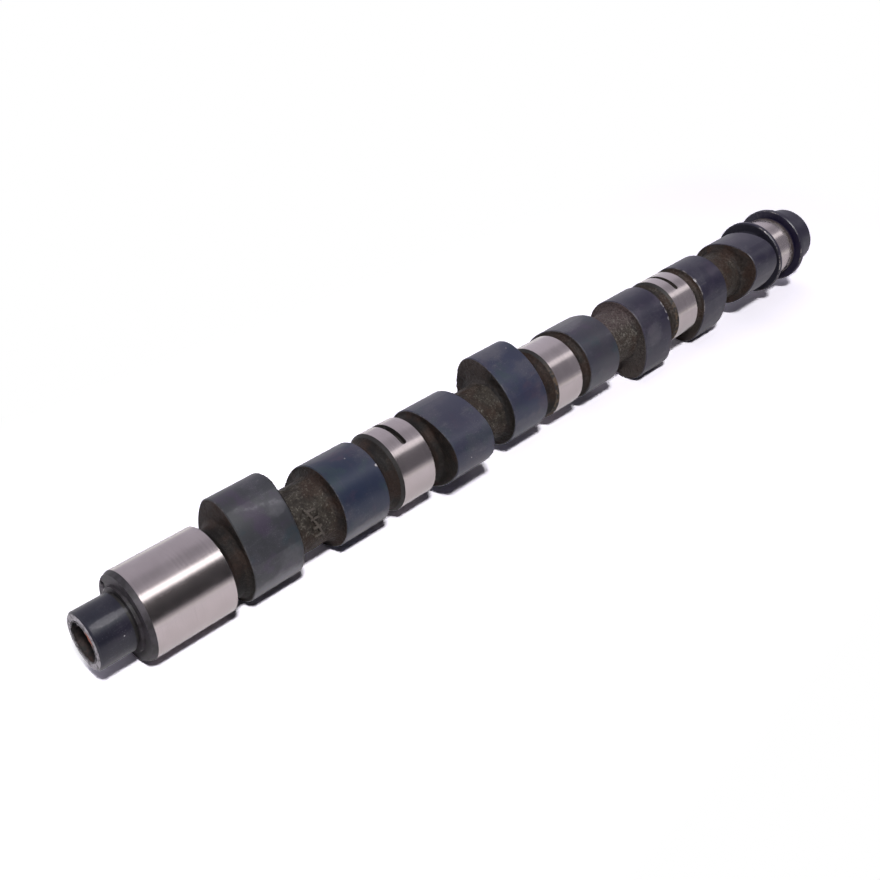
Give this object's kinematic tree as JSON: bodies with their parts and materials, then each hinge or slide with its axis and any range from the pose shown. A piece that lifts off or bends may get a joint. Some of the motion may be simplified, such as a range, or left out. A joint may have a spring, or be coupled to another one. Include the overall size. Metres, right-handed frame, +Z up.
{
  "type": "camshaft",
  "caption": "One-piece cast camshaft with ground bearing journals, convex cam lobes in pairs, a thrust flange and a drilled pilot end for its timing sprocket.",
  "frame": {"origin": "on the shaft axis, in the shoulder face of journal 1 that the timing sprocket seats against", "axes": "+X along the shaft from the sprocket shoulder to the rear end, +Z up, rolled as the shaft lies on a flat floor"},
  "size_m": [0.4616, 0.0488, 0.0488],
  "materials": {
    "cast_iron_black": "black phosphate on the lobes, bright ground journals, rough cast necks"
  },
  "bodies": {
    "root": {"camshaft": "cast_iron_black"}
  },
  "joints": []
}
